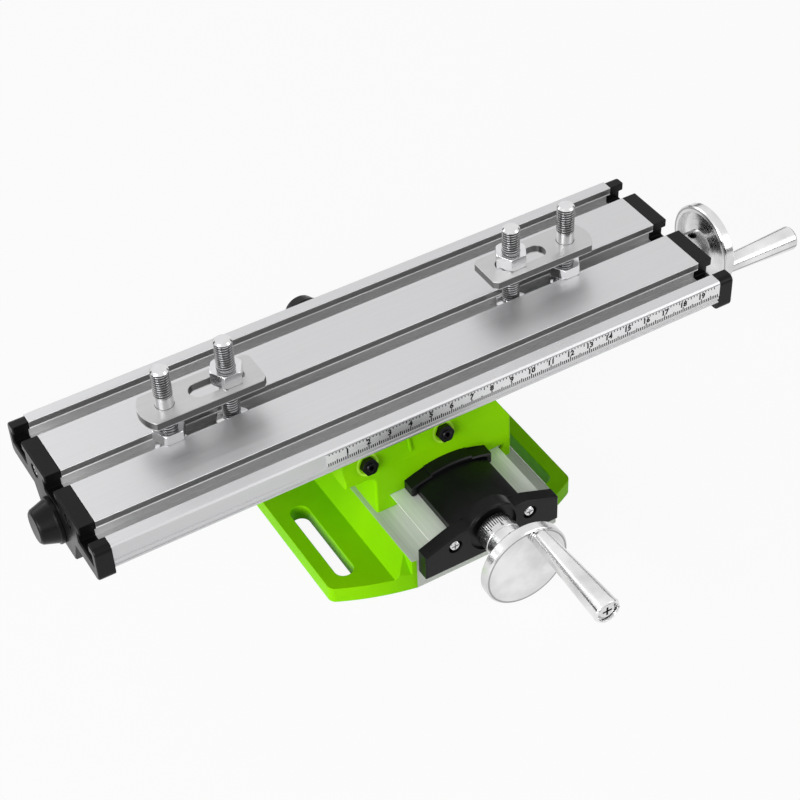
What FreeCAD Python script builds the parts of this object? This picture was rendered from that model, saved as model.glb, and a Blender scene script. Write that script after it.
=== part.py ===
import FreeCAD, Part
import math
import os
from FreeCAD import Vector

# Compound cross slide table.  A T-slotted table travels along X on a saddle, and the
# saddle travels along Y on a cast base.  Millimetres, +Z up.  The origin is the middle
# of the base's underside, the table's length lies along X, and one handwheel is at +X
# and the other at -Y.

# Base casting
plate_width = 122.0
plate_reach = 76.9
plate_corner_reach = 61.7
plate_thickness = 8.2
plate_corner_radius = 4.0
ways_offset = 8.5
ways_reach = 74.4
way_width = 72.8
way_height = 17.0
way_shoulder_run = 7.2
hip_run = 8.0
dovetail_angle = 60.0
base_dovetail_width = 55.0
base_dovetail_height = 7.5
screw_channel_width = 14.0
screw_channel_floor = 15.5
floor_slot_width = 8.5
floor_slot_length = 47.2
floor_slot_x = 50.1
floor_slot_y = 34.9

# Saddle casting
saddle_length = 80.0
saddle_rest_y = -1.7
saddle_leg_width = 68.4
saddle_overhang = 14.2
overhang_height = 38.5
overhang_fillet = 4.0
shoulder_height = 38.8
shoulder_slope = 0.56
band_crease = 42.0
band_lean = 15.0
saddle_floor = 42.2
roof_gap = 0.3
cover_channel_gap = 1.8
pointer_x = -7.6
pointer_width = 1.6
pointer_height = 4.0
pointer_proud = 0.8

# Table extrusion, its rule and end caps
table_top = 70.0
table_length = 295.0
table_depth = 12.5
table_rest_x = 2.35
table_dovetail_width = 56.0
table_dovetail_height = 14.5
table_channel_width = 16.0
table_channel_top = 57.0
t_slot_pitch = 33.95
t_slot_opening = 9.5
t_slot_lip = 4.0
t_slot_cavity_width = 15.0
t_slot_cavity_height = 6.0
t_slot_side_wall = 3.55
edge_chamfer = 0.8
rule_length = 200.0
rule_height = 6.6
rule_thickness = 0.5
rule_drop = 1.5
side_groove_height = 1.0
side_groove_depth = 0.5
end_cap_thickness = 7.5
end_cap_height = 17.0
end_cap_corner = 3.0
end_cap_boss_bottom = 41.0
end_cap_boss_width = 44.0
end_cap_boss_slope = 5.0
cap_screw_y = 17.0
cap_screw_height = 63.6

# Feed screws, nuts and end plugs
screw_diameter = 8.0
journal_diameter = 6.0
x_screw_height = 50.0
y_screw_height = 23.0
x_nut_length = 18.0
x_nut_width = 15.0
x_nut_top = 56.0
y_nut_length = 16.0
y_nut_start = 12.0
y_nut_width = 13.0
y_nut_bottom = 16.2
lock_nut_size = 10.0
lock_nut_height = 5.0
screw_end_length = 6.5
plug_flange_radius = 10.5
plug_flange_thickness = 2.0
plug_base_radius = 9.8
plug_end_radius = 7.7
plug_length = 9.6
plug_bore_radius = 6.6
plug_wall = 1.6

# Front bracket, its tunnel over the feed screw, and the rear bearing plate
bracket_thickness = 6.2
bracket_half_width = 33.2
bracket_bottom = 10.0
bracket_end_top = 23.0
bracket_shoulder_x = 17.0
bracket_shoulder_top = 29.5
ring_radius = 13.0
ring_recess_radius = 11.5
ring_recess_depth = 1.2
bracket_screw_x = 18.6
bracket_screw_height = 22.0
small_head_radius = 2.8
small_head_height = 1.6
small_shank_radius = 1.6
small_shank_length = 12.0
head_sink = 0.4
cross_reach = 1.7
cross_depth = 1.0
cap_screw_length = 14.0
counterbore_radius = 3.3
tunnel_half_width = 17.2
tunnel_side_top = 28.0
tunnel_rise = 3.8
tunnel_wall = 2.0
tunnel_haunch = 0.6
tunnel_length = 55.7
collar_half_width = 20.2
collar_side_top = 29.4
collar_rise = 3.4
collar_hump_half_width = 10.5
collar_hump_side = 33.0
collar_hump_rise = 1.2
collar_depth = 6.5
collar_spigot = 4.0
collar_gap = 0.6
rear_plate_thickness = 8.0
rear_plate_half_width = 27.0
rear_plate_top = 34.0

# Handwheels, dials and crank handles
wheel_radius = 20.0
wheel_thickness = 5.0
wheel_rim_inner = 17.2
wheel_dish = 2.2
wheel_cover = 1.4
rim_chamfer = 0.6
hub_radius = 8.5
sleeve_radius = 5.8
x_wheel_distance = 17.0
y_wheel_distance = 21.0
x_dial_length = 6.8
y_dial_length = 8.4
handle_orbit = 16.5
handle_length = 49.0
handle_neck_radius = 3.2
handle_root_radius = 4.0
handle_end_radius = 6.0
handle_recess_radius = 4.7
handle_recess_depth = 2.8
handle_bolt_radius = 2.0
handle_bolt_head_radius = 4.1
handle_bolt_head_height = 2.0
x_handle_angle = 261.6
y_handle_angle = 71.4
set_screw_radius = 2.0
set_screw_length = 5.0

# Gibs with their set screws and lock nuts
gib_thickness = 2.6
gib_screw_radius = 2.0
gib_screw_proud = 3.8
gib_screw_socket = 2.0
gib_screw_socket_depth = 1.6
gib_screw_tip_radius = 1.1
gib_screw_tip_length = 1.2
gib_nut_size = 7.0
gib_nut_height = 3.0
x_gib_screw_first = -28.2
x_gib_screw_spacing = 37.3
x_gib_screw_height = 46.6
y_gib_screw_spacing = 44.0
y_gib_screw_height = 20.7

# Strap clamps on the middle T-slot
strap_width = 19.0
strap_thickness = 4.0
strap_underside = 13.0
strap_heel_reach = 11.5
strap_toe_reach = 42.5
strap_end_radius = 14.0
strap_corner_cut = 2.0
strap_slot_start = 11.0
strap_slot_end = 36.0
strap_slot_width = 9.0
slot_bolt_reach = 28.5
clamp_bolt_radius = 4.0
clamp_nut_size = 13.0
clamp_head_height = 5.3
heel_nut_height = 5.0
top_nut_height = 6.5
heel_bolt_top = 36.0
left_slot_bolt_top = 38.0
right_slot_bolt_top = 36.0
left_heel_x = -98.65
right_heel_x = 97.15

# Clearances
slide_gap = 0.05
face_gap = 0.1
bore_gap = 0.05
side_gap = 0.3
cut_reach = 60.0

# Values worked out from the sizes above
flank = math.tan(math.radians(90.0 - dovetail_angle))
across = 1 / math.cos(math.radians(90.0 - dovetail_angle))
ways_left = ways_offset - way_width / 2
bracket_left = ways_offset - bracket_half_width
ways_right = ways_offset + way_width / 2
dovetail_top = way_height + base_dovetail_height
leg_left = ways_offset - saddle_leg_width / 2
leg_right = ways_offset + saddle_leg_width / 2
saddle_left = leg_left - saddle_overhang
saddle_front = saddle_rest_y - saddle_length / 2
saddle_rear = saddle_rest_y + saddle_length / 2
table_width = 2 * (t_slot_pitch + t_slot_cavity_width / 2 + t_slot_side_wall)
table_underside = table_top - table_depth
table_keel = table_underside - table_dovetail_height
saddle_bottom = way_height + slide_gap
saddle_top = table_underside - slide_gap
band_run = (saddle_top - band_crease) * math.tan(math.radians(band_lean))
shoulder_run = (saddle_top - shoulder_height) * shoulder_slope
channel_half = tunnel_half_width + cover_channel_gap
channel_side_top = tunnel_side_top + cover_channel_gap
table_left = table_rest_x - table_length / 2
table_right = table_rest_x + table_length / 2
cap_left = table_left - end_cap_thickness
cap_right = table_right + end_cap_thickness
bracket_front = -ways_reach - bracket_thickness
rear_plate_back = ways_reach + rear_plate_thickness
screw_radius = screw_diameter / 2
journal_radius = journal_diameter / 2
slot_rows = [saddle_rest_y + t_slot_pitch * i for i in (-1, 0, 1)]
lip_bottom = table_top - t_slot_lip
cavity_bottom = lip_bottom - t_slot_cavity_height


def block(x0, x1, y0, y1, z0, z1):
    return Part.makeBox(x1 - x0, y1 - y0, z1 - z0, Vector(x0, y0, z0))


def prism(points, path):
    """A closed outline pushed along a vector."""
    corners = [Vector(*p) for p in points]
    return Part.Face(Part.makePolygon(corners + corners[:1])).extrude(Vector(*path))


def prism_x(points, x0, x1):
    return prism([(x0, y, z) for y, z in points], (x1 - x0, 0, 0))


def prism_y(points, y0, y1):
    return prism([(x, y0, z) for x, z in points], (0, y1 - y0, 0))


def rod(start, way, radius, length):
    return Part.makeCylinder(radius, length, Vector(*start), Vector(*way))


def sideways(axis):
    """A direction square to the axis: level where the axis isn't upright."""
    side = Vector(0, 0, 1).cross(axis)
    return side.normalize() if side.Length > 0.1 else Vector(1, 0, 0)


def hex_nut(start, way, size, height, bore=0.0):
    """A hexagonal nut or bolt head with its corners turned down at both faces."""
    axis = Vector(*way).normalize()
    side = sideways(axis)
    up = axis.cross(side)
    reach = size / 2 / math.cos(math.pi / 6)
    turns = [math.pi / 3 * i for i in range(6)]
    corners = [Vector(*start) + side * reach * math.cos(t) + up * reach * math.sin(t) for t in turns]
    body = Part.Face(Part.makePolygon(corners + corners[:1])).extrude(axis * height)
    cut = (reach - size / 2) * 0.6
    body = body.common(turned([(0, 0), (reach - cut, 0), (reach, cut), (reach, height - cut),
                               (reach - cut, height), (0, height)], start, way))
    return body.cut(rod(start, way, bore, height)) if bore else body


def turned(profile, start, way):
    """A turned piece: radius and distance along the axis, taken round the axis."""
    axis = Vector(*way).normalize()
    side = sideways(axis)
    corners = [Vector(*start) + side * r + axis * a for r, a in profile]
    face = Part.Face(Part.makePolygon(corners + corners[:1]))
    return face.revolve(Vector(*start), axis, 360)


def long_slot(x0, x1, y0, y1, z0, z1):
    """A round-ended slot along its longer side."""
    radius = min(x1 - x0, y1 - y0) / 2
    along_x = x1 - x0 > y1 - y0
    xs = (x0 + radius, x1 - radius)
    ys = (y0 + radius, y1 - radius)
    body = block(xs[0], xs[1], y0, y1, z0, z1) if along_x else block(x0, x1, ys[0], ys[1], z0, z1)
    for i in (0, 1):
        body = body.fuse(rod((xs[i], ys[i], z0), (0, 0, 1), radius, z1 - z0))
    return body.removeSplitter()


def arched(half, side_top, rise, bottom, y0, y1):
    """A bar with flat sides and an arched top, along Y over the feed screw."""
    x0 = ways_offset - half
    x1 = ways_offset + half
    left = Vector(x0, y0, side_top)
    right = Vector(x1, y0, side_top)
    crown = Part.Arc(left, Vector(ways_offset, y0, side_top + rise), right)
    edges = [Part.makeLine(Vector(x0, y0, bottom), left), crown.toShape()]
    edges.append(Part.makeLine(right, Vector(x1, y0, bottom)))
    edges.append(Part.makeLine(Vector(x1, y0, bottom), Vector(x0, y0, bottom)))
    return Part.Face(Part.Wire(edges)).extrude(Vector(0, y1 - y0, 0))


def dovetail(centre, z0, z1, wide_half, wide_z, sense, low_gap=0.0, high_gap=0.0):
    """A dovetail outline, wider upward for sense 1 and downward for sense -1."""
    half0 = wide_half + sense * (z0 - wide_z) * flank
    half1 = wide_half + sense * (z1 - wide_z) * flank
    return [(centre - half0 - low_gap, z0), (centre + half0 + high_gap, z0),
            (centre + half1 + high_gap, z1), (centre - half1 - low_gap, z1)]


def straight_edges(shape, axis, keep):
    """The straight edges of a shape that run along an axis and pass a test."""
    found = []
    for edge in shape.Edges:
        if edge.Curve.TypeId == "Part::GeomLine":
            way = edge.tangentAt(edge.FirstParameter)
            if abs(abs(way.dot(axis)) - 1) < 1e-6 and keep(edge.CenterOfMass):
                found.append(edge)
    return found


def export(name, shape):
    shape.exportStep("parts/" + name + ".step")


def export_group(name, shapes):
    export(name, Part.makeCompound(shapes))


def plate_outline(height):
    """The foot plate's outline: straight sides, and bowed ends that the bracket flattens."""
    half = plate_width / 2
    corners = [Vector(x, y, 0) for x, y in ((-half, -plate_corner_reach), (half, -plate_corner_reach),
                                            (half, plate_corner_reach), (-half, plate_corner_reach))]
    edges = [Part.Arc(corners[0], Vector(0, -plate_reach, 0), corners[1]).toShape()]
    edges.append(Part.makeLine(corners[1], corners[2]))
    edges.append(Part.Arc(corners[2], Vector(0, plate_reach, 0), corners[3]).toShape())
    edges.append(Part.makeLine(corners[3], corners[0]))
    body = Part.Face(Part.Wire(edges)).extrude(Vector(0, 0, height))
    return body.common(block(-half, half, -ways_reach, ways_reach, 0, height))


def base_casting():
    plate = plate_outline(plate_thickness)
    corners = straight_edges(plate, Vector(0, 0, 1), lambda c: abs(c.x) > plate_width / 2 - 1)
    plate = plate.makeFillet(plate_corner_radius, corners)
    foot_half = base_dovetail_width / 2 - base_dovetail_height * flank
    section = [(bracket_left, 0), (ways_right, 0), (ways_right, way_height)]
    section.append((ways_offset + foot_half, way_height))
    section += [(ways_offset + base_dovetail_width / 2, dovetail_top)]
    section += [(ways_offset - base_dovetail_width / 2, dovetail_top)]
    section += [(ways_offset - foot_half, way_height), (bracket_left, way_height)]
    ways = prism_y(section, -ways_reach, ways_reach)
    # Beside the bracket the left way keeps to the plate's outline, and it slopes down to
    # the plate and ends in a hip at the front and the rear
    slope = [(bracket_left, 0), (bracket_left, way_height), (ways_left, way_height)]
    slope.append((ways_left - way_shoulder_run, plate_thickness))
    slope.append((ways_left - way_shoulder_run, 0))
    shoulder = prism_y(slope, -ways_reach, ways_reach).common(plate_outline(way_height))
    for side in (-1, 1):
        end = side * ways_reach
        hip = [(end + side, plate_thickness), (end, plate_thickness)]
        hip += [(end - side * hip_run, way_height + 1), (end + side, way_height + 1)]
        shoulder = shoulder.cut(prism_x(hip, ways_left - way_shoulder_run - 1, ways_left))
    casting = plate.fuse(ways).fuse(shoulder)
    half = screw_channel_width / 2
    casting = casting.cut(block(ways_offset - half, ways_offset + half, -ways_reach - 1, ways_reach + 1,
                                screw_channel_floor, dovetail_top + 1))
    slot_half = (floor_slot_width / 2, floor_slot_length / 2)
    for x in (-floor_slot_x, floor_slot_x):
        for y in (-floor_slot_y, floor_slot_y):
            casting = casting.cut(long_slot(x - slot_half[0], x + slot_half[0], y - slot_half[1],
                                            y + slot_half[1], -1, plate_thickness + 1))
    for side in (-1, 1):
        for x in (-bracket_screw_x, bracket_screw_x):
            casting = casting.cut(rod((ways_offset + x, side * (ways_reach + 1), bracket_screw_height),
                                      (0, -side, 0), small_shank_radius + bore_gap, small_shank_length))
    return casting.removeSplitter()


def wing_outline():
    x0 = bracket_half_width
    x1 = bracket_shoulder_x
    points = [(-x0, bracket_bottom), (x0, bracket_bottom), (x0, bracket_end_top)]
    points += [(x1, bracket_shoulder_top), (-x1, bracket_shoulder_top), (-x0, bracket_end_top)]
    return [(ways_offset + x, z) for x, z in points]


def plate_screw_cuts(body, face, side):
    """Screw holes and counterbores through an end plate, seen from its outer face."""
    for x in (-bracket_screw_x, bracket_screw_x):
        start = (ways_offset + x, face, bracket_screw_height)
        body = body.cut(rod(start, (0, -side, 0), small_shank_radius + bore_gap, small_shank_length))
        body = body.cut(rod(start, (0, -side, 0), counterbore_radius, small_head_height + head_sink))
    return body


def small_screw_profile(shank):
    """Half of a pan-head screw: radius and distance along the axis from under its head."""
    return [(0, -shank), (small_shank_radius, -shank), (small_shank_radius, 0),
            (small_head_radius, 0), (small_head_radius, small_head_height * 0.5),
            (small_head_radius * 0.7, small_head_height), (0, small_head_height)]


def plate_screws(face, side):
    """Pan-head screws that hold an end plate, with a cross recess in each head."""
    screws = []
    sunk = face - side * (small_head_height + head_sink)
    for x in (-bracket_screw_x, bracket_screw_x):
        axis = (ways_offset + x, sunk, bracket_screw_height)
        screw = turned(small_screw_profile(small_shank_length), axis, (0, side, 0))
        face_point = (axis[0], sunk + side * small_head_height, axis[2])
        screws.append(cross_recess(screw, face_point, side, cross_reach, cross_depth))
    return screws


def cross_recess(body, face_point, side, reach, depth):
    """A cross driven into a screw head that faces along Y."""
    x, y, z = face_point
    width = reach * 0.22
    y0, y1 = sorted((y + side, y - side * depth))
    body = body.cut(block(x - reach, x + reach, y0, y1, z - width, z + width))
    return body.cut(block(x - width, x + width, y0, y1, z - reach, z + reach))


def front_bracket():
    """The moulded bracket: bearing plate, ring round the dial, and tunnel over the screw."""
    rear = -ways_reach
    body = prism_y(wing_outline(), bracket_front, rear)
    ring = rod((ways_offset, bracket_front, y_screw_height), (0, 1, 0), ring_radius, bracket_thickness)
    below = block(bracket_left, ways_right, bracket_front - 1, rear + 1, 0, bracket_bottom)
    body = body.fuse(ring).cut(below).removeSplitter()
    front_edges = [e for e in body.Edges if abs(e.CenterOfMass.y - bracket_front) < 1e-6]
    body = body.makeChamfer(rim_chamfer, front_edges)
    body = body.cut(rod((ways_offset, bracket_front - 1, y_screw_height), (0, 1, 0), ring_recess_radius,
                        ring_recess_depth + 1))
    end = rear + tunnel_length
    foot = dovetail_top + slide_gap
    tunnel = arched(tunnel_half_width, tunnel_side_top, tunnel_rise, foot, rear, end)
    tunnel = tunnel.cut(arched(tunnel_half_width - tunnel_wall, tunnel_side_top - tunnel_haunch,
                               tunnel_rise - tunnel_wall + tunnel_haunch, foot, rear, end))
    body = body.fuse(tunnel).removeSplitter()
    body = body.cut(rod((ways_offset, bracket_front - 1, y_screw_height), (0, 1, 0),
                        journal_radius + bore_gap, cut_reach))
    return plate_screw_cuts(body, bracket_front, -1)


def rear_bearing_plate():
    half = rear_plate_half_width
    points = [(-half, bracket_bottom), (half, bracket_bottom), (half, bracket_end_top)]
    points += [(plug_flange_radius + 1, rear_plate_top), (-plug_flange_radius - 1, rear_plate_top)]
    points.append((-half, bracket_end_top))
    body = prism_y([(ways_offset + x, z) for x, z in points], ways_reach, rear_plate_back)
    back_edges = [e for e in body.Edges if abs(e.CenterOfMass.y - rear_plate_back) < 1e-6]
    body = body.makeChamfer(rim_chamfer, back_edges)
    body = body.cut(rod((ways_offset, ways_reach - 1, y_screw_height), (0, 1, 0), journal_radius + bore_gap,
                        cut_reach))
    return plate_screw_cuts(body, rear_plate_back, 1)


def screw_cover_collar():
    """The collar that rides on the saddle's front and closes the gap round the tunnel."""
    inner = (tunnel_half_width + collar_gap, tunnel_side_top + collar_gap, tunnel_rise)
    foot = dovetail_top + side_gap
    front = saddle_front - collar_depth
    flange = arched(collar_half_width, collar_side_top, collar_rise, foot, front, saddle_front)
    hump = arched(collar_hump_half_width, collar_hump_side, collar_hump_rise, foot, front, saddle_front)
    flange = flange.fuse(hump).removeSplitter()
    front_edges = [e for e in flange.Edges if abs(e.CenterOfMass.y - front) < 1e-6]
    top_edges = [e for e in front_edges if e.CenterOfMass.z > foot + 1]
    flange = flange.makeChamfer(rim_chamfer, top_edges)
    spigot = arched(channel_half - face_gap, channel_side_top - face_gap, tunnel_rise, foot,
                    saddle_front, saddle_front + collar_spigot)
    body = flange.fuse(spigot)
    return body.cut(arched(*inner, foot - 1, front - 1, saddle_front + collar_spigot + 1)).removeSplitter()


def band_screw_line(x):
    """Where an X gib screw meets the leaning band, and the way it points out."""
    lean = math.radians(band_lean)
    y = saddle_front + (x_gib_screw_height - band_crease) * math.tan(lean)
    return Vector(x, y, x_gib_screw_height), Vector(0, -math.cos(lean), math.sin(lean))


def table_flank_y(z, gap):
    """The front flank of the table's dovetail, moved out by a gap square to it."""
    return saddle_rest_y - table_dovetail_width / 2 + (z - table_keel) * flank - gap * across


def x_gib_screw_lines():
    """Outer point, outward way and depth to the gib for both X gib screws."""
    lines = []
    for i in (0, 1):
        point, out = band_screw_line(x_gib_screw_first + x_gib_screw_spacing * i)
        start = table_flank_y(point.z, slide_gap + gib_thickness)
        depth = (start - point.y) / (-out.y - out.z * flank * -1)
        lines.append((point, out, depth))
    return lines


def y_gib_screw_lines():
    lines = []
    for y in (-y_gib_screw_spacing / 2, y_gib_screw_spacing / 2):
        point = Vector(leg_right, saddle_rest_y + y, y_gib_screw_height)
        flank_x = ways_offset + base_dovetail_width / 2 + (y_gib_screw_height - dovetail_top) * flank
        depth = leg_right - flank_x - (slide_gap + gib_thickness) * across
        lines.append((point, Vector(1, 0, 0), depth))
    return lines


def gib_screws(lines, slant):
    """Set screws whose thin tips press on a gib, which leans by the slant in degrees."""
    screws = []
    r = gib_screw_radius
    tip = gib_screw_tip_radius
    for point, out, depth in lines:
        reach = depth - tip * math.tan(math.radians(slant)) - slide_gap
        length = reach + gib_screw_proud
        profile = [(0, 0), (tip, 0), (tip, gib_screw_tip_length), (r, gib_screw_tip_length + r - tip),
                   (r, length - 0.4), (r - 0.4, length), (0, length)]
        screw = turned(profile, tuple(point - out * reach), tuple(out))
        socket_foot = point + out * (gib_screw_proud - gib_screw_socket_depth)
        socket = hex_nut(tuple(socket_foot), tuple(out), gib_screw_socket, 2 * gib_screw_socket_depth)
        screws.append(screw.cut(socket))
    return screws


def saddle():
    side = [(leg_left, saddle_bottom), (leg_right, saddle_bottom), (leg_right, shoulder_height)]
    side += [(leg_right - shoulder_run, saddle_top), (saddle_left, saddle_top)]
    side += [(saddle_left, overhang_height), (leg_left, overhang_height)]
    ends = [(saddle_front, saddle_bottom), (saddle_rear, saddle_bottom), (saddle_rear, band_crease)]
    ends += [(saddle_rear - band_run, saddle_top), (saddle_front + band_run, saddle_top)]
    ends.append((saddle_front, band_crease))
    body = prism_y(side, saddle_front, saddle_rear).common(prism_x(ends, saddle_left, leg_right))
    along_y = straight_edges(body, Vector(0, 1, 0), lambda c: abs(c.x - leg_left) < 0.01)
    inner_corner = [edge for edge in along_y if abs(edge.CenterOfMass.z - overhang_height) < 0.01]
    body = body.makeFillet(overhang_fillet, inner_corner)
    uprights = straight_edges(body, Vector(0, 0, 1), lambda c: True)
    body = body.makeFillet(1.2, uprights)
    gap = slide_gap * across
    gib = (2 * slide_gap + gib_thickness) * across
    body = body.cut(prism_y(dovetail(ways_offset, saddle_bottom - 1, dovetail_top + roof_gap,
                                     base_dovetail_width / 2, dovetail_top, 1, gap, gib),
                            saddle_front - 1, saddle_rear + 1))
    body = body.cut(arched(channel_half, channel_side_top, tunnel_rise, dovetail_top, saddle_front - 1,
                           saddle_rear + 1))
    body = body.cut(prism_x(dovetail(saddle_rest_y, saddle_floor, saddle_top + 1, table_dovetail_width / 2,
                                     table_keel, -1, gib, gap), saddle_left - 1, leg_right + 1))
    for point, out, depth in x_gib_screw_lines() + y_gib_screw_lines():
        start = point + out * 2
        body = body.cut(rod(tuple(start), tuple(-out), gib_screw_radius + bore_gap, depth + 4))
    # A small index mark stands at the top of the band, below the rule
    lean = math.tan(math.radians(band_lean))
    head = saddle_top - side_gap
    foot = head - pointer_height
    low = saddle_front + (foot - band_crease) * lean
    high = saddle_front + (head - band_crease) * lean
    mark = [(low + 1, foot), (low, foot), (high - pointer_proud, head), (high + 1, head)]
    body = body.fuse(prism_x(mark, pointer_x - pointer_width / 2, pointer_x + pointer_width / 2))
    return body.removeSplitter()


def x_gib():
    z0 = saddle_floor + side_gap
    z1 = saddle_top - side_gap
    inner = slide_gap
    outer = slide_gap + gib_thickness
    points = [(table_flank_y(z0, outer), z0), (table_flank_y(z0, inner), z0)]
    points += [(table_flank_y(z1, inner), z1), (table_flank_y(z1, outer), z1)]
    return prism_x(points, saddle_left + 1, leg_right - shoulder_run - 1)


def y_gib():
    z0 = saddle_bottom + side_gap
    z1 = dovetail_top - side_gap
    inner = slide_gap * across
    outer = (slide_gap + gib_thickness) * across
    low = ways_offset + base_dovetail_width / 2 + (z0 - dovetail_top) * flank
    high = ways_offset + base_dovetail_width / 2 + (z1 - dovetail_top) * flank
    points = [(low + inner, z0), (low + outer, z0), (high + outer, z1), (high + inner, z1)]
    return prism_y(points, saddle_front + 1, saddle_rear - 1)


def x_feed_nut():
    half = x_nut_width / 2
    centre = ways_offset
    body = block(centre - x_nut_length / 2, centre + x_nut_length / 2, saddle_rest_y - half,
                 saddle_rest_y + half, saddle_floor, x_nut_top)
    return body.cut(rod((centre - x_nut_length, saddle_rest_y, x_screw_height), (1, 0, 0),
                        screw_radius + bore_gap, cut_reach))


def y_feed_nut():
    y0 = saddle_rest_y + y_nut_start
    y1 = y0 + y_nut_length
    half = y_nut_width / 2
    body = arched(channel_half - slide_gap, channel_side_top, tunnel_rise - slide_gap,
                  dovetail_top + side_gap, y0, y1)
    body = body.fuse(block(ways_offset - half, ways_offset + half, y0, y1, y_nut_bottom, dovetail_top + 1))
    bore = rod((ways_offset, y0 - 1, y_screw_height), (0, 1, 0), screw_radius + bore_gap, cut_reach)
    return body.cut(bore).removeSplitter()


def t_slot_cuts(x0, x1):
    cuts = []
    mouth = t_slot_opening / 2
    cavity = t_slot_cavity_width / 2
    for y in slot_rows:
        cuts.append(block(x0, x1, y - mouth, y + mouth, lip_bottom - 1, table_top + 1))
        cuts.append(block(x0, x1, y - cavity, y + cavity, cavity_bottom, lip_bottom))
    return cuts


def cap_screw_points():
    return [(saddle_rest_y + y, cap_screw_height) for y in (-cap_screw_y, cap_screw_y)]


def table():
    """The extrusion: T-slotted panel above a dovetail with a channel for the feed screw."""
    y0 = saddle_rest_y - table_width / 2
    y1 = saddle_rest_y + table_width / 2
    c = edge_chamfer
    panel = [(y0, table_underside + c), (y0, table_top - c), (y0 + c, table_top), (y1 - c, table_top)]
    panel += [(y1, table_top - c), (y1, table_underside + c), (y1 - c, table_underside)]
    panel.append((y0 + c, table_underside))
    body = prism_x(panel, table_left, table_right)
    body = body.fuse(prism_x(dovetail(saddle_rest_y, table_keel, table_underside, table_dovetail_width / 2,
                                      table_keel, -1), table_left, table_right)).removeSplitter()
    half = table_channel_width / 2
    body = body.cut(block(table_left, table_right, saddle_rest_y - half, saddle_rest_y + half,
                          table_keel - 1, table_channel_top))
    for cut in t_slot_cuts(table_left, table_right):
        body = body.cut(cut)
    rule_bottom = table_top - rule_drop - rule_height
    for face, way in ((y0, 1), (y1, -1)):
        ya, yb = sorted((face - way, face + way * rule_thickness))
        body = body.cut(block(table_left, table_right, ya, yb, rule_bottom - side_gap,
                              table_top - rule_drop + side_gap))
        ya, yb = sorted((face - way, face + way * side_groove_depth))
        groove = table_underside + c + 0.8
        body = body.cut(block(table_left, table_right, ya, yb, groove, groove + side_groove_height))
    for y, z in cap_screw_points():
        for x, way in ((table_left - 1, 1), (table_right + 1, -1)):
            body = body.cut(rod((x, y, z), (way, 0, 0), small_shank_radius + bore_gap, small_shank_length))
    return body.removeSplitter()


def rule():
    y0 = saddle_rest_y - table_width / 2
    z1 = table_top - rule_drop
    return block(table_right - rule_length, table_right, y0, y0 + rule_thickness, z1 - rule_height, z1)


def end_cap(x0, x1, out):
    """A moulded end cap with the T-slots left open and a boss that carries the screw."""
    y0 = saddle_rest_y - table_width / 2
    y1 = saddle_rest_y + table_width / 2
    body = block(x0, x1, y0, y1, table_top - end_cap_height, table_top)
    body = body.makeFillet(end_cap_corner, straight_edges(body, Vector(1, 0, 0), lambda c: True))
    half = end_cap_boss_width / 2
    boss_top = table_top - end_cap_height + 1
    boss = [(-half, boss_top), (-half + end_cap_boss_slope, end_cap_boss_bottom)]
    boss += [(half - end_cap_boss_slope, end_cap_boss_bottom), (half, boss_top)]
    boss = [(saddle_rest_y + y, z) for y, z in boss]
    body = body.fuse(prism_x(boss, x0, x1)).removeSplitter()
    for cut in t_slot_cuts(x0 - 1, x1 + 1):
        body = body.cut(cut)
    outer = x1 if out > 0 else x0
    outer_edges = [e for e in body.Edges if abs(e.CenterOfMass.x - outer) < 1e-6]
    body = body.makeChamfer(0.5, outer_edges)
    body = body.cut(rod((x0 - 1, saddle_rest_y, x_screw_height), (1, 0, 0),
                        journal_radius + bore_gap, cut_reach))
    for y, z in cap_screw_points():
        body = body.cut(rod((x0 - 1, y, z), (1, 0, 0), small_shank_radius + bore_gap, cut_reach))
        body = body.cut(rod((outer, y, z), (-out, 0, 0), counterbore_radius, small_head_height + head_sink))
    return body


def end_cap_screws():
    screws = []
    sink = small_head_height + head_sink
    for x, out in ((cap_left + sink, -1), (cap_right - sink, 1)):
        for y, z in cap_screw_points():
            screws.append(turned(small_screw_profile(cap_screw_length), (x, y, z), (out, 0, 0)))
    return screws


def end_plug(start, way):
    """A hollow plug over the feed screw's lock nut."""
    profile = [(plug_bore_radius, 0), (plug_flange_radius, 0), (plug_flange_radius, plug_flange_thickness),
               (plug_base_radius, plug_flange_thickness), (plug_end_radius, plug_length - 1),
               (plug_end_radius - 1, plug_length), (0, plug_length), (0, plug_length - plug_wall),
               (plug_bore_radius - 0.6, plug_length - plug_wall)]
    return turned(profile, start, way)


def leadscrew(start, way, stretches):
    """A feed screw: pairs of radius and end distance along the axis, tips broken."""
    profile = [(0, 0), (stretches[0][0] - 0.4, 0)]
    at = 0.4
    for radius, end in stretches:
        profile += [(radius, at), (radius, end)]
        at = end
    radius, end = profile[-1]
    profile[-1] = (radius, end - 0.4)
    profile += [(radius - 0.4, end), (0, end)]
    return turned(profile, start, way)


def handwheel(start, way, distance, dial_length, angle_point):
    """A dished disc with its hub, blind bore, and the thin sleeve that the dial turns on."""
    back = distance
    front = back + wheel_thickness
    bore = journal_radius + bore_gap
    r = wheel_radius
    c = rim_chamfer
    hub_start = dial_length + 3 * face_gap
    bore_end = front - wheel_cover
    profile = [(bore, face_gap), (sleeve_radius, face_gap), (sleeve_radius, hub_start),
               (hub_radius, hub_start), (hub_radius, back), (wheel_rim_inner, back + wheel_dish),
               (wheel_rim_inner, back), (r - c, back), (r, back + c), (r, front - c), (r - c, front),
               (0, front), (0, bore_end), (bore, bore_end)]
    body = turned(profile, start, way)
    body = body.cut(rod(tuple(angle_point), way, handle_bolt_radius + bore_gap, cut_reach))
    middle = Vector(*start) + Vector(*way) * ((hub_start + back) / 2)
    return body.cut(rod(tuple(middle), (0, 0, 1), set_screw_radius + bore_gap, wheel_radius))


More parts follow.
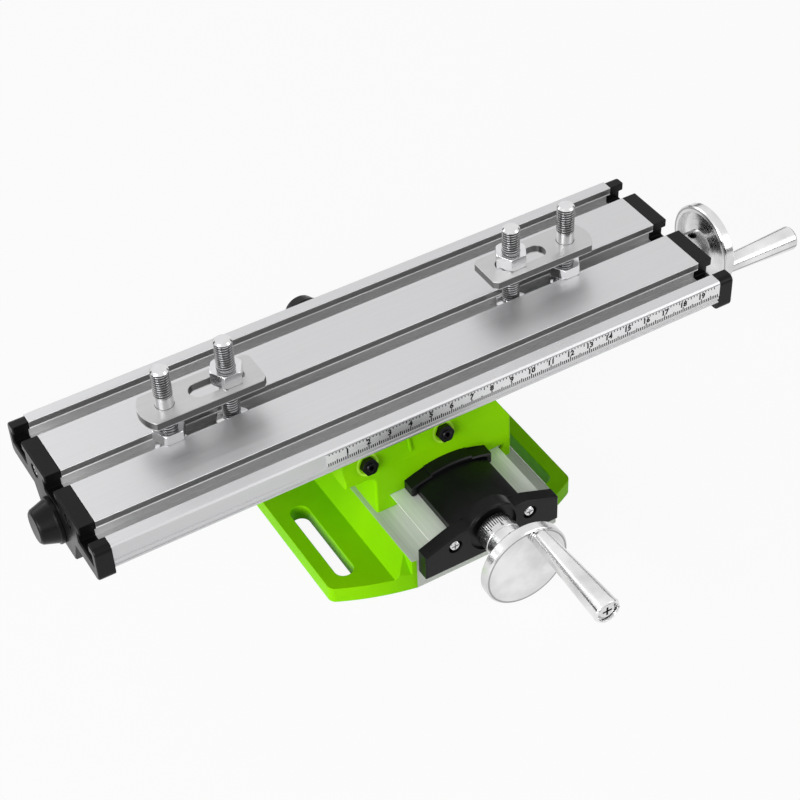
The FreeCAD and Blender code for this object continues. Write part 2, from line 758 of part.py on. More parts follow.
def set_screw(start, way, distance, dial_length):
    middle = Vector(*start) + Vector(*way) * ((dial_length + 3 * face_gap + distance) / 2)
    foot = journal_radius
    body = rod(tuple(middle + Vector(0, 0, foot)), (0, 0, 1), set_screw_radius, set_screw_length)
    socket = hex_nut(tuple(middle + Vector(0, 0, foot + set_screw_length - 2)), (0, 0, 1), 2.0, 3.0)
    return body.cut(socket)


def dial(start, way, length):
    bore = sleeve_radius + bore_gap
    c = 0.4
    profile = [(bore, 2 * face_gap), (hub_radius - c, 2 * face_gap), (hub_radius, 2 * face_gap + c),
               (hub_radius, 2 * face_gap + length - c), (hub_radius - c, 2 * face_gap + length),
               (bore, 2 * face_gap + length)]
    return turned(profile, start, way)


def handle(start, way):
    """A tapered grip, thicker at its free end, that spins on a bolt."""
    length = handle_length
    bore = handle_bolt_radius + bore_gap
    profile = [(bore, face_gap), (handle_root_radius, face_gap), (handle_root_radius, 1.0),
               (handle_neck_radius, 1.0), (handle_neck_radius, 1.8), (handle_root_radius, 1.8),
               (handle_end_radius, length - 1.2), (handle_end_radius - 0.5, length),
               (handle_recess_radius, length), (handle_recess_radius, length - handle_recess_depth),
               (bore, length - handle_recess_depth)]
    return turned(profile, start, way)


def handle_bolt(start, way):
    seat = handle_length - handle_recess_depth + face_gap
    top = seat + handle_bolt_head_height
    r = handle_bolt_head_radius
    foot = -wheel_thickness + 0.2
    profile = [(0, foot), (handle_bolt_radius, foot), (handle_bolt_radius, seat), (r, seat), (r, top - 0.6),
               (r - 0.8, top), (0, top)]
    return turned(profile, start, way)


def handle_point(start, way, distance, angle):
    """Where the handle's axis meets the disc's front face."""
    axis = Vector(*way)
    side = Vector(0, 1, 0) if abs(axis.x) > 0.5 else Vector(1, 0, 0)
    turn = math.radians(angle)
    out = side * math.cos(turn) + Vector(0, 0, 1) * math.sin(turn)
    return Vector(*start) + axis * (distance + wheel_thickness) + out * handle_orbit


def strap(heel_x, s):
    """A slotted strap with a shallow round heel and a straight toe."""
    y = saddle_rest_y
    half = strap_width / 2
    z0 = table_top + strap_underside
    z1 = z0 + strap_thickness
    cut = strap_corner_cut
    toe = strap_toe_reach
    outline = [(-strap_heel_reach, -half), (toe - cut, -half), (toe, -half + cut), (toe, half - cut)]
    outline += [(toe - cut, half), (-strap_heel_reach, half)]
    body = prism([(heel_x + s * x, y + v, z0) for x, v in outline], (0, 0, z1 - z0))
    round_x = heel_x + s * (strap_end_radius - strap_heel_reach)
    heel = rod((round_x, y, z0), (0, 0, 1), strap_end_radius, z1 - z0)
    xs = sorted((round_x, heel_x + s * (toe + 1)))
    body = body.common(heel.fuse(block(xs[0], xs[1], y - half, y + half, z0, z1)).removeSplitter())
    body = body.cut(rod((heel_x, y, z0 - 1), (0, 0, 1), clamp_bolt_radius + bore_gap, strap_thickness + 2))
    xs = sorted((heel_x + s * strap_slot_start, heel_x + s * strap_slot_end))
    slot_half = strap_slot_width / 2
    body = body.cut(long_slot(xs[0], xs[1], y - slot_half, y + slot_half, z0 - 1, z1 + 1))
    return body.removeSplitter()


def clamp_bolt(x, top):
    """A hexagon bolt with its head in the T-slot and its thread standing above the table."""
    head = lip_bottom - slide_gap - clamp_head_height
    r = clamp_bolt_radius
    length = table_top + top - head
    body = hex_nut((x, saddle_rest_y, head), (0, 0, 1), clamp_nut_size, clamp_head_height)
    shank = turned([(0, 1), (r, 1), (r, length - 0.9), (r - 0.9, length), (0, length)],
                   (x, saddle_rest_y, head), (0, 0, 1))
    return body.fuse(shank).removeSplitter()


def clamp_nut(x, z, height):
    return hex_nut((x, saddle_rest_y, z), (0, 0, 1), clamp_nut_size, height, clamp_bolt_radius + bore_gap)


def export_clamp(side, heel_x, s, slot_top):
    slot_x = heel_x + s * slot_bolt_reach
    strap_top = table_top + strap_underside + strap_thickness
    export(side + "_strap", strap(heel_x, s))
    export(side + "_heel_bolt", clamp_bolt(heel_x, heel_bolt_top))
    export(side + "_heel_nut", clamp_nut(heel_x, table_top + slide_gap, heel_nut_height))
    export(side + "_slot_bolt", clamp_bolt(slot_x, slot_top))
    export(side + "_top_nut", clamp_nut(slot_x, strap_top + slide_gap, top_nut_height))


def export_feed(name, start, way, distance, dial_length, angle):
    """The handwheel, dial, handle and small screws at the driven end of a feed screw."""
    point = handle_point(start, way, distance, angle)
    hole = point - Vector(*way) * (wheel_thickness + 5)
    export(name + "_handwheel", handwheel(start, way, distance, dial_length, hole))
    export(name + "_set_screw", set_screw(start, way, distance, dial_length))
    export(name + "_dial", dial(start, way, dial_length))
    export(name + "_handle", handle(tuple(point), way))
    export(name + "_handle_bolt", handle_bolt(tuple(point), way))


def export_screws():
    """Both feed screws with the lock nuts and plugs at their far ends."""
    wheel_end = wheel_thickness - wheel_cover - face_gap
    y_start = -y_wheel_distance - wheel_end
    screw = leadscrew((ways_offset, bracket_front + y_start, y_screw_height), (0, 1, 0), [
        (journal_radius, bracket_thickness - y_start + face_gap),
        (screw_radius, bracket_thickness - y_start + 2 * ways_reach - face_gap),
        (journal_radius, rear_plate_back + screw_end_length - bracket_front - y_start)])
    export("y_leadscrew", screw)
    x_span = cap_right - cap_left
    screw = leadscrew((cap_left - screw_end_length, saddle_rest_y, x_screw_height), (1, 0, 0), [
        (journal_radius, screw_end_length + end_cap_thickness + face_gap),
        (screw_radius, screw_end_length + end_cap_thickness + table_length - face_gap),
        (journal_radius, screw_end_length + x_span + x_wheel_distance + wheel_end)])
    export("x_leadscrew", screw)
    bore = journal_radius + bore_gap
    export("x_lock_nut", hex_nut((cap_left - slide_gap, saddle_rest_y, x_screw_height), (-1, 0, 0),
                                 lock_nut_size, lock_nut_height, bore))
    export("y_lock_nut", hex_nut((ways_offset, rear_plate_back + slide_gap, y_screw_height), (0, 1, 0),
                                 lock_nut_size, lock_nut_height, bore))
    export("x_end_plug", end_plug((cap_left, saddle_rest_y, x_screw_height), (-1, 0, 0)))
    export("y_end_plug", end_plug((ways_offset, rear_plate_back, y_screw_height), (0, 1, 0)))


def export_gib_hardware(axis_name, lines, slant):
    export_group(axis_name + "_gib_screws", gib_screws(lines, slant))
    nuts = [hex_nut(tuple(point + out * slide_gap), tuple(out), gib_nut_size, gib_nut_height,
                    gib_screw_radius + bore_gap) for point, out, depth in lines]
    export_group(axis_name + "_gib_nuts", nuts)


os.makedirs("parts", exist_ok=True)
export("base_casting", base_casting())
export("front_bracket", front_bracket())
export_group("bracket_screws", plate_screws(bracket_front, -1))
export("rear_bearing_plate", rear_bearing_plate())
export_group("rear_plate_screws", plate_screws(rear_plate_back, 1))
export("saddle", saddle())
export("screw_cover_collar", screw_cover_collar())
export("x_gib", x_gib())
export("y_gib", y_gib())
export_gib_hardware("x", x_gib_screw_lines(), 90 - dovetail_angle - band_lean)
export_gib_hardware("y", y_gib_screw_lines(), 90 - dovetail_angle)
export("x_feed_nut", x_feed_nut())
export("y_feed_nut", y_feed_nut())
export("table", table())
export("rule", rule())
export("left_end_cap", end_cap(cap_left, table_left, -1))
export("right_end_cap", end_cap(table_right, cap_right, 1))
export_group("end_cap_screws", end_cap_screws())
export_screws()
export_feed("x", (cap_right, saddle_rest_y, x_screw_height), (1, 0, 0), x_wheel_distance, x_dial_length,
            x_handle_angle)
export_feed("y", (ways_offset, bracket_front, y_screw_height), (0, -1, 0), y_wheel_distance, y_dial_length,
            y_handle_angle)
export_clamp("left", left_heel_x, 1, left_slot_bolt_top)
export_clamp("right", right_heel_x, -1, right_slot_bolt_top)
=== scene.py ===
# %% [markdown]
# # A compound cross slide table
# The CAD model gives every rigid part its place and motion. This lesson dresses it: paint, metal and
# plastic finishes, soft edges, screw threads, a printed rule, graduated dials, a studio and a camera.
# The frame is loaded first, and the boxes of its parts are read from it. Nothing that is added may
# grow the object.

# %% Load the frame
import math
import bpy
import bmesh
from mathutils import Matrix, Vector


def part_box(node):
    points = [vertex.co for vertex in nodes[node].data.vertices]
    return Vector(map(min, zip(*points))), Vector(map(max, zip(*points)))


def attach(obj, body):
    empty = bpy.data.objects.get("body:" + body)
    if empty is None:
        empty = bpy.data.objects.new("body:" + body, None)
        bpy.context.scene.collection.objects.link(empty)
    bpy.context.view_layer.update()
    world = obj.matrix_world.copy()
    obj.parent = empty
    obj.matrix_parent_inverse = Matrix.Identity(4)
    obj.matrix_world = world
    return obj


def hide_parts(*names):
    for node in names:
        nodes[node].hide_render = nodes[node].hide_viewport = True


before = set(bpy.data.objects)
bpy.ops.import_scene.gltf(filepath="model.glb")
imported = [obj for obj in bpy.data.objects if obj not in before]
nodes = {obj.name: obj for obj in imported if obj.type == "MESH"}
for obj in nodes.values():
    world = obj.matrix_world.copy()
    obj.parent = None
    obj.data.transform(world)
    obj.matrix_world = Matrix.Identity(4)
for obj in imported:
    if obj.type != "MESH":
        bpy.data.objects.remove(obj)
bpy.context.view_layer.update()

scene = bpy.context.scene
MM = 0.001

# %% [markdown]
# New pieces are placed from the CAD parts that carry them, so their sizes are read from the frame's boxes.
# Everything in the scene is in metres, and a small helper turns a box into millimetres, which are easier
# to read.

# %% Boxes in millimetres
def low_high(name):
    """The lowest and highest corner of a CAD part at rest, in mm."""
    low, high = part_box(name)
    return Vector(low) / MM, Vector(high) / MM


table_low, table_high = low_high("table")
table_middle = (table_low + table_high) / 2
base_low, base_high = low_high("base_casting")
x_wheel_low, x_wheel_high = low_high("x_handwheel")
y_wheel_low, y_wheel_high = low_high("y_handwheel")
x_axis = Vector((table_low.x, table_middle.y, (x_wheel_low.z + x_wheel_high.z) / 2))
y_axis = Vector(((y_wheel_low.x + y_wheel_high.x) / 2, base_low.y, (y_wheel_low.z + y_wheel_high.z) / 2))
print("X screw axis:", [round(v, 2) for v in x_axis], "Y screw axis:", [round(v, 2) for v in y_axis])

# %% [markdown]
# ## The camera
# A camera looks along its own -Z, with +Y up and +X to the right. The view here was solved from the table's
# corners and the rule, so the three directions are known in the object's frame. They become the columns
# of a matrix, and the place becomes its last column.

# %% Camera
camera = bpy.data.objects.new("camera", bpy.data.cameras.new("camera"))
scene.collection.objects.link(camera)
camera.data.lens = 85.76
camera.data.sensor_width = 36.0
camera_place = Vector((-289.44, -547.67, 607.37))
camera_right = Vector((0.85924, -0.51023, -0.03695))
camera_down = Vector((-0.36932, -0.56872, -0.73495))
camera_forward = Vector((0.35398, 0.64515, -0.67711))
turn = Matrix((camera_right, -camera_down, -camera_forward)).transposed()
camera.matrix_world = Matrix.Translation(camera_place * MM) @ turn.to_4x4()
camera.data.clip_start = 0.05
camera.data.clip_end = 20
scene.camera = camera
scene.view_settings.view_transform = "Standard"
print("camera in mm:", [round(v / MM, 1) for v in camera.location])

# %% [markdown]
# ## The floor and the backdrop
# The object stands on white paper. A diffuse floor alone goes grey where the lamps fade, and a glowing one
# loses the shadow, so the paper is a blend of the two. The glow is only for what the camera and
# reflections see, told by the Light Path node, so it puts no extra light on the object.

# %% White paper
def seen_directly(tree):
    """A value of 1 for camera, mirror and glass rays, and 0 for the rays that light things."""
    path = tree.nodes.new("ShaderNodeLightPath")
    total = path.outputs["Is Camera Ray"]
    for name in ("Is Glossy Ray", "Is Transmission Ray"):
        larger = tree.nodes.new("ShaderNodeMath")
        larger.operation = "MAXIMUM"
        tree.links.new(total, larger.inputs[0])
        tree.links.new(path.outputs[name], larger.inputs[1])
        total = larger.outputs[0]
    return total


paper_white = 0.72
glow_share = 0.93
floor_half = 30.0

paper = bpy.data.materials.new("white_paper")
paper.use_nodes = True
tree = paper.node_tree
tree.nodes.clear()
matt = tree.nodes.new("ShaderNodeBsdfDiffuse")
matt.inputs["Color"].default_value = (paper_white, paper_white, paper_white, 1)
glow = tree.nodes.new("ShaderNodeEmission")
glow.inputs["Color"].default_value = (1, 1, 1, 1)
share = tree.nodes.new("ShaderNodeMath")
share.operation = "MULTIPLY"
share.inputs[1].default_value = glow_share
blend = tree.nodes.new("ShaderNodeMixShader")
out = tree.nodes.new("ShaderNodeOutputMaterial")
tree.links.new(seen_directly(tree), share.inputs[0])
tree.links.new(share.outputs[0], blend.inputs[0])
tree.links.new(matt.outputs[0], blend.inputs[1])
tree.links.new(glow.outputs[0], blend.inputs[2])
tree.links.new(blend.outputs[0], out.inputs["Surface"])

floor_mesh = bpy.data.meshes.new("floor")
bm = bmesh.new()
bmesh.ops.create_grid(bm, x_segments=1, y_segments=1, size=floor_half)
bm.to_mesh(floor_mesh)
bm.free()
floor = bpy.data.objects.new("floor", floor_mesh)
floor.data.materials.append(paper)
scene.collection.objects.link(floor)
print("floor:", floor_half * 2, "m wide, glow share", glow_share)

# %% [markdown]
# The world gives the soft light from all round. Rays that light things see a dim white, and the camera and
# mirror rays see full white, so metal shows a bright studio without being overlit.

# %% World
soft_light = 0.24
seen_light = 1.0

world = bpy.data.worlds.new("studio")
scene.world = world
world.use_nodes = True
sky = world.node_tree
sky.nodes.clear()
dim = sky.nodes.new("ShaderNodeBackground")
dim.inputs["Color"].default_value = (1, 1, 1, 1)
dim.inputs["Strength"].default_value = soft_light
white = sky.nodes.new("ShaderNodeBackground")
white.inputs["Color"].default_value = (1, 1, 1, 1)
white.inputs["Strength"].default_value = seen_light
choose = sky.nodes.new("ShaderNodeMixShader")
sky_out = sky.nodes.new("ShaderNodeOutputWorld")
sky.links.new(seen_directly(sky), choose.inputs[0])
sky.links.new(dim.outputs[0], choose.inputs[1])
sky.links.new(white.outputs[0], choose.inputs[2])
sky.links.new(choose.outputs[0], sky_out.inputs[0])
print("world:", soft_light, "for lighting,", seen_light, "where it is seen")

# %% [markdown]
# ## Soft studio lamps
# Large area lamps give soft shadows and long even highlights, which bare metal needs more than paint does.
# The key lamp stands low at the left, because the left-facing green faces are the brightest. A weaker one
# fills from the front right, and a wide one stands behind. Each row below holds a lamp's place, its width
# and height, all in metres, and its power in watts.

# %% Lamps
def lamp(name, place, aim, size, power):
    """An area lamp at a place, facing a point."""
    light = bpy.data.lights.new(name, "AREA")
    light.shape = "RECTANGLE"
    light.size, light.size_y = size
    light.energy = power
    made = bpy.data.objects.new(name, light)
    scene.collection.objects.link(made)
    made.location = place
    made.rotation_euler = (Vector(aim) - Vector(place)).to_track_quat("-Z", "Y").to_euler()
    return made


table_centre = (0, 0, 0.05)
lamp_rows = (("key_lamp", (-1.45, -0.6, 0.5), (1.1, 0.9), 30),
             ("fill_lamp", (1.1, -1.3, 0.6), (1.0, 1.0), 7),
             ("back_lamp", (-0.6, 1.5, 0.9), (1.6, 0.6), 6))
for name, place, size, power in lamp_rows:
    made = lamp(name, place, table_centre, size, power)
    print(made.name, made.data.energy, "W")

# %% [markdown]
# Polished metal in an all-white room has no edges. A photographer stands black cards round the object, just
# above the floor, and their reflections draw the dark lines along bars and rims. One ring of black card
# does it here. Only mirror rays see it, so it shades nothing.

# %% Black card ring
card_radius = 1.6
card_height = 0.3
card_lift = 0.03

card = bpy.data.materials.new("black_card")
card.use_nodes = True
card_inputs = card.node_tree.nodes["Principled BSDF"].inputs
card_inputs["Base Color"].default_value = (0.02, 0.02, 0.02, 1)
card_inputs["Roughness"].default_value = 0.9
bm = bmesh.new()
bmesh.ops.create_circle(bm, cap_ends=False, segments=64, radius=card_radius)
wall = bmesh.ops.extrude_edge_only(bm, edges=bm.edges[:])["geom"]
upper = [v for v in wall if isinstance(v, bmesh.types.BMVert)]
bmesh.ops.translate(bm, verts=upper, vec=(0, 0, card_height))
bmesh.ops.translate(bm, verts=bm.verts, vec=(0, 0, card_lift))
card_mesh = bpy.data.meshes.new("black_card_ring")
bm.to_mesh(card_mesh)
bm.free()
card_mesh.materials.append(card)
card_ring = bpy.data.objects.new("black_card_ring", card_mesh)
scene.collection.objects.link(card_ring)
card_ring.visible_camera = False
card_ring.visible_diffuse = False
card_ring.visible_shadow = False
print("card ring height in m:", round(card_ring.dimensions.z, 2))

# %% [markdown]
# ## How a finish is built
# Each finish is one Principled shader with a few procedural nodes in front of it. Every pattern reads
# Object coordinates, so it sits still on its part. The helpers below add a noise, a colour ramp and a
# bump, and a Mapping node moves or stretches the pattern.

# %% Finish helpers
def new_finish(name, metallic, roughness, color, specular=0.5):
    """A material with its Principled shader set and its Object coordinates ready."""
    mat = bpy.data.materials.new(name)
    mat.use_nodes = True
    tree = mat.node_tree
    shader = tree.nodes["Principled BSDF"]
    shader.inputs["Metallic"].default_value = metallic
    shader.inputs["Roughness"].default_value = roughness
    shader.inputs["Base Color"].default_value = (*color, 1)
    shader.inputs["Specular IOR Level"].default_value = specular
    coords = tree.nodes.new("ShaderNodeTexCoord").outputs["Object"]
    return mat, tree, shader, coords


def mapped(tree, coords, scale=(1, 1, 1), move=(0, 0, 0)):
    """Coordinates that are scaled and then moved."""
    node = tree.nodes.new("ShaderNodeMapping")
    node.inputs["Scale"].default_value = scale
    node.inputs["Location"].default_value = move
    tree.links.new(coords, node.inputs["Vector"])
    return node.outputs[0]


def noise(tree, coords, scale, detail=3.0, rough=0.5):
    """A noise value from 0 to 1; a larger scale gives a finer grain."""
    node = tree.nodes.new("ShaderNodeTexNoise")
    node.inputs["Scale"].default_value = scale
    node.inputs["Detail"].default_value = detail
    node.inputs["Roughness"].default_value = rough
    tree.links.new(coords, node.inputs["Vector"])
    return node.outputs["Fac"]


def ramp(tree, value, stops):
    """A colour ramp: pairs of position and colour, or position and grey value."""
    node = tree.nodes.new("ShaderNodeValToRGB")
    elements = node.color_ramp.elements
    while len(elements) < len(stops):
        elements.new(0.5)
    for element, (at, shade) in zip(elements, stops):
        element.position = at
        element.color = (*shade, 1) if isinstance(shade, tuple) else (shade, shade, shade, 1)
    tree.links.new(value, node.inputs["Fac"])
    return node.outputs["Color"]


def bump(tree, shader, height, strength, depth_mm):
    """Lets a height socket tilt the shading, as if the surface were that many mm deep."""
    node = tree.nodes.new("ShaderNodeBump")
    node.inputs["Strength"].default_value = strength
    node.inputs["Distance"].default_value = depth_mm * MM
    tree.links.new(height, node.inputs["Height"])
    tree.links.new(node.outputs[0], shader.inputs["Normal"])


print("pattern helpers: coordinates, noise, ramp and bump")

# %% [markdown]
# A finish often changes from one part of a surface to another. A mask says where: it is a value of 1 or 0,
# made by comparing a coordinate with a distance. Masks are joined by arithmetic, and a Mix node uses one
# to choose between two colours.

# %% Mask helpers
def math_node(tree, kind, a, b):
    """One step of arithmetic; a and b are sockets or numbers."""
    node = tree.nodes.new("ShaderNodeMath")
    node.operation = kind
    for socket, value in zip(node.inputs, (a, b)):
        if isinstance(value, (int, float)):
            socket.default_value = value
        else:
            tree.links.new(value, socket)
    return node.outputs[0]


def between(tree, value, low_mm, high_mm):
    """1 where a coordinate lies between two distances in mm, and 0 elsewhere."""
    above = math_node(tree, "GREATER_THAN", value, low_mm * MM)
    below = math_node(tree, "LESS_THAN", value, high_mm * MM)
    return math_node(tree, "MULTIPLY", above, below)


def mix_color(tree, factor, a, b):
    """Blends two colours; a and b are sockets or colours, and so may the factor be."""
    node = tree.nodes.new("ShaderNodeMix")
    node.data_type = "RGBA"
    for socket, value in ((node.inputs[0], factor), (node.inputs[6], a), (node.inputs[7], b)):
        if isinstance(value, tuple):
            socket.default_value = (*value, 1)
        elif isinstance(value, (int, float)):
            socket.default_value = value
        else:
            tree.links.new(value, socket)
    return node.outputs[2]


def split(tree, coords):
    """The coordinates' sockets, to be picked by "X", "Y" or "Z"."""
    node = tree.nodes.new("ShaderNodeSeparateXYZ")
    tree.links.new(coords, node.inputs[0])
    return node.outputs


print("mask helpers: arithmetic, bands, mixing and splitting")

# %% [markdown]
# ## Green casting paint
# The base and the saddle are sand castings under thick lime paint. Two noises do it: a broad one shifts
# the colour a little, as an uneven coat does, and a fine one dimples the surface like the sand under the
# paint. The paint itself is dull, and a very thin clear coat gives a little shine without whitening it.

# %% Paint
lime = (0.26, 0.66, 0.001)
deep_lime = (0.2, 0.57, 0.001)
broad_scale = 22
sand_scale = 420
coat = 0.03


def paint_finish(name):
    """Green paint; its colour socket is returned too, for finishes that mix it with another."""
    mat, tree, shader, coords = new_finish(name, 0.0, 0.45, lime, 0.03)
    broad = ramp(tree, noise(tree, coords, broad_scale, 2), [(0.35, deep_lime), (0.65, lime)])
    sand = noise(tree, coords, sand_scale, 4, 0.55)
    bump(tree, shader, sand, 0.14, 0.25)
    shader.inputs["Coat Weight"].default_value = coat
    shader.inputs["Coat Roughness"].default_value = 0.2
    tree.links.new(broad, shader.inputs["Base Color"])
    return mat, tree, shader, coords, broad


saddle_paint = paint_finish("saddle_paint")[0]
print("paint:", saddle_paint.name, "from", deep_lime, "to", lime)

# %% [markdown]
# The ways are machined bare after painting, and so are the base's flat end faces. The same finish therefore
# blends to grey metal above the height of the ways and past the end faces. Each mask is a comparison
# of one coordinate with a distance, and the larger of the two masks drives colour, metal and roughness.
# The lower ways are painted a darker grey than the dovetail's top, as painted shade, and a third mask picks
# out the top by its height.

# %% Paint with machined ways
way_level = 16.9
dovetail_level = 20.0
face_skin = 0.05
end_face = base_high.y - face_skin
bare_metallic = 0.3
painted_rough, bare_rough = 0.42, 0.5
stroke_stretch = (900, 12, 900)

base_paint, tree, shader, coords, painted = paint_finish("base_paint")
axes = split(tree, coords)
across, height = axes["Y"], axes["Z"]
on_ways = math_node(tree, "GREATER_THAN", height, way_level * MM)
from_middle = math_node(tree, "ABSOLUTE", across, 0)
on_face = math_node(tree, "GREATER_THAN", from_middle, end_face * MM)
bare = math_node(tree, "MAXIMUM", on_ways, on_face)
strokes = noise(tree, mapped(tree, coords, stroke_stretch), 1.0, 4)
# The lower ways' grey is darker than the top's: painted shade.
shaded_low_way = ramp(tree, strokes, [(0.3, (0.5, 0.53, 0.48)), (0.7, (0.6, 0.63, 0.58))])
top_way = ramp(tree, strokes, [(0.3, (0.82, 0.84, 0.8)), (0.7, (0.92, 0.94, 0.9))])
on_dovetail = math_node(tree, "GREATER_THAN", height, dovetail_level * MM)
bare_color = mix_color(tree, on_dovetail, shaded_low_way, top_way)
tree.links.new(mix_color(tree, bare, painted, bare_color), shader.inputs["Base Color"])
tree.links.new(math_node(tree, "MULTIPLY", bare, bare_metallic), shader.inputs["Metallic"])
rough = mix_color(tree, bare, (painted_rough,) * 3, (bare_rough,) * 3)
tree.links.new(rough, shader.inputs["Roughness"])
print("ways:", base_paint.name, "is bare above", way_level, "mm and past", round(end_face, 2), "mm")

# %% [markdown]
# ## Black moulded plastic
# Moulded parts have a fine even grain, a little rougher in patches. A tight noise drives a faint bump,
# and a broad one shifts the roughness.

# %% Plastic
grain_scale = 1400
patch_scale = 45
fade_scale = 90


def plastic_finish(name, color, low, high, specular=0.35):
    """A moulded or printed surface with its roughness between low and high."""
    mat, tree, shader, coords = new_finish(name, 0.0, low, color, specular)
    grain = noise(tree, coords, grain_scale, 2)
    bump(tree, shader, grain, 0.12, 0.08)
    patches = ramp(tree, noise(tree, coords, patch_scale, 3), [(0.3, low), (0.7, high)])
    tree.links.new(patches, shader.inputs["Roughness"])
    paler = tuple(c * 1.4 for c in color)
    faded = ramp(tree, noise(tree, coords, fade_scale, 2), [(0.3, color), (0.7, paler)])
    tree.links.new(faded, shader.inputs["Base Color"])
    return mat


black_moulding = plastic_finish("black_moulding", (0.004, 0.004, 0.0045), 0.26, 0.38, 0.16)
print("plastic:", black_moulding.name)

# %% [markdown]
# ## Metals
# A metal's look is mostly its roughness and the direction of its marks. Extruded aluminium has fine lines
# along its length, so its noise is stretched about a hundred times along X. Plated bolts are smooth, with
# faint marks that run no way in particular.

# %% Drawn and plated metal
def drawn_metal(name, color, low, high, stretch, marks=0.06):
    """Metal with fine lines along one direction; stretch is the scale along X, Y and Z."""
    mat, tree, shader, coords = new_finish(name, 1.0, low, color)
    lines = noise(tree, mapped(tree, coords, stretch), 1.0, 5, 0.6)
    rough = ramp(tree, lines, [(0.3, low), (0.7, high)])
    tree.links.new(rough, shader.inputs["Roughness"])
    tint = ramp(tree, lines, [(0.25, tuple(c * 0.93 for c in color)), (0.75, color)])
    tree.links.new(tint, shader.inputs["Base Color"])
    bump(tree, shader, lines, marks, 0.05)
    return mat, tree, shader, coords, tint


even_marks = (300, 300, 300)
fine_marks = (500, 500, 500)
bar_lines = (60, 800, 800)

bolt_plate = drawn_metal("bolt_plating", (0.74, 0.74, 0.75), 0.12, 0.22, even_marks)[0]
# This dark grey is painted shade, worn by the roots of the threads.
root_shade = drawn_metal("root_shade", (0.2, 0.2, 0.2), 0.35, 0.5, even_marks)[0]
black_oxide = drawn_metal("black_oxide", (0.02, 0.02, 0.022), 0.25, 0.4, even_marks)[0]
machined_steel = drawn_metal("machined_steel", (0.5, 0.5, 0.51), 0.22, 0.34, fine_marks)[0]
feed_brass = drawn_metal("feed_nut_brass", (0.72, 0.5, 0.2), 0.25, 0.4, bar_lines)[0]
for metal in (bolt_plate, root_shade, black_oxide, machined_steel, feed_brass):
    print("metal:", metal.name)

# %% [markdown]
# The straps are sheared from bar. Their upright sides are painted darker than their faces, as painted shade.
# Both lie flat at the same height, so a band of height inside the plate's thickness picks out the sides and
# the walls of the holes.

# %% Strap plate
strap_low, strap_high = low_high("left_strap")
strap_grey = (0.56, 0.56, 0.56)
strap_lines = (40, 600, 600)
strap_marks = 0.04
side_shade = 0.14
lower_edge, upper_edge = 0.5, 0.35

strap_plate, tree, shader, coords, tint = drawn_metal("strap_plating", strap_grey, 0.28, 0.4,
                                                      strap_lines, strap_marks)
height = split(tree, coords)["Z"]
sides = between(tree, height, strap_low.z + lower_edge, strap_high.z - upper_edge)
# Painted shade: the upright sides and the hole walls are darker.
tree.links.new(mix_color(tree, sides, tint, (side_shade,) * 3), shader.inputs["Base Color"])
print("strap:", strap_plate.name, "sides from", round(strap_low.z, 1), "to", round(strap_high.z, 1), "mm")

# %% [markdown]
# The table's extrusion is satin anodised. The lips of its T-slots get painted shade, a dark grey, on the
# sides that face the slot, and end above and below in a thin painted highlight, a near-white line where a
# rounded edge would catch the light. The bottom of the slot is grey. Bands of height pick these out, only
# between the slots' outer walls. A metal in a dark slot can't look bright, because it mirrors the dark, so
# the bands turn the metal down and let the light itself show.

# %% Anodised extrusion
long_lines = (8, 900, 900)
lip_bottom = table_high.z - 4.0
slot_bottom = lip_bottom - 6.2
lower_foot, lower_top = lip_bottom - 0.1, lip_bottom + 0.8
upper_foot, upper_top = table_high.z - 0.4, table_high.z - 0.03
slot_zone = 42.0
# The lip grey is painted shade and the line grey is a painted highlight.
deep_grey, lip_shade_grey, highlight_grey = 0.6, 0.4, 0.97
deep_matt = 0.7

anodised, tree, shader, coords, tint = drawn_metal("anodised_extrusion", (0.64, 0.64, 0.65), 0.38, 0.46,
                                                   long_lines)
axes = split(tree, coords)
across, height = axes["Y"], axes["Z"]
in_slots = between(tree, across, table_middle.y - slot_zone, table_middle.y + slot_zone)
lower_line = between(tree, height, lower_foot, lower_top)
upper_line = between(tree, height, upper_foot, upper_top)
lines = math_node(tree, "MAXIMUM", lower_line, upper_line)
bright = math_node(tree, "MULTIPLY", lines, in_slots)
lip = math_node(tree, "MULTIPLY", between(tree, height, lower_top, upper_foot), in_slots)
deep = math_node(tree, "MULTIPLY", between(tree, height, slot_bottom, lower_foot), in_slots)
shade = mix_color(tree, deep, tint, (deep_grey,) * 3)
# Painted shade on the lips' sides that face the slot.
shade = mix_color(tree, lip, shade, (lip_shade_grey,) * 3)
# Painted highlight: near-white lines at the lips' top and bottom edges.
tree.links.new(mix_color(tree, bright, shade, (highlight_grey,) * 3), shader.inputs["Base Color"])
matt_share = math_node(tree, "MAXIMUM", bright, math_node(tree, "MULTIPLY", deep, deep_matt))
tree.links.new(math_node(tree, "SUBTRACT", 1.0, matt_share), shader.inputs["Metallic"])
print("extrusion:", anodised.name, "bright lines at", round(lip_bottom, 1), "and",
      round(table_high.z, 1), "mm")

# %% [markdown]
# A handwheel is turned in a lathe, so its flat faces carry fine rings round the axis and its round faces
# carry hoops along it. The rings wave follows the distance from an axis, and each wheel has its own axis, so
# the finish is made once for each. A ring of painted shade, a darker grey, lies just inside the rim, where
# the face meets it. It is a band of distance from the axis: the length of the coordinates, with the one
# along the axis made zero.

# %% Turned aluminium
ring_scale = 250
hoop_scale = ring_scale * 1.6
cloud_scale = 60
shade_inner, shade_outer = 1.5, 0.7
# The grey of the ring inside the rim is painted shade.
rim_shade_grey = 0.36


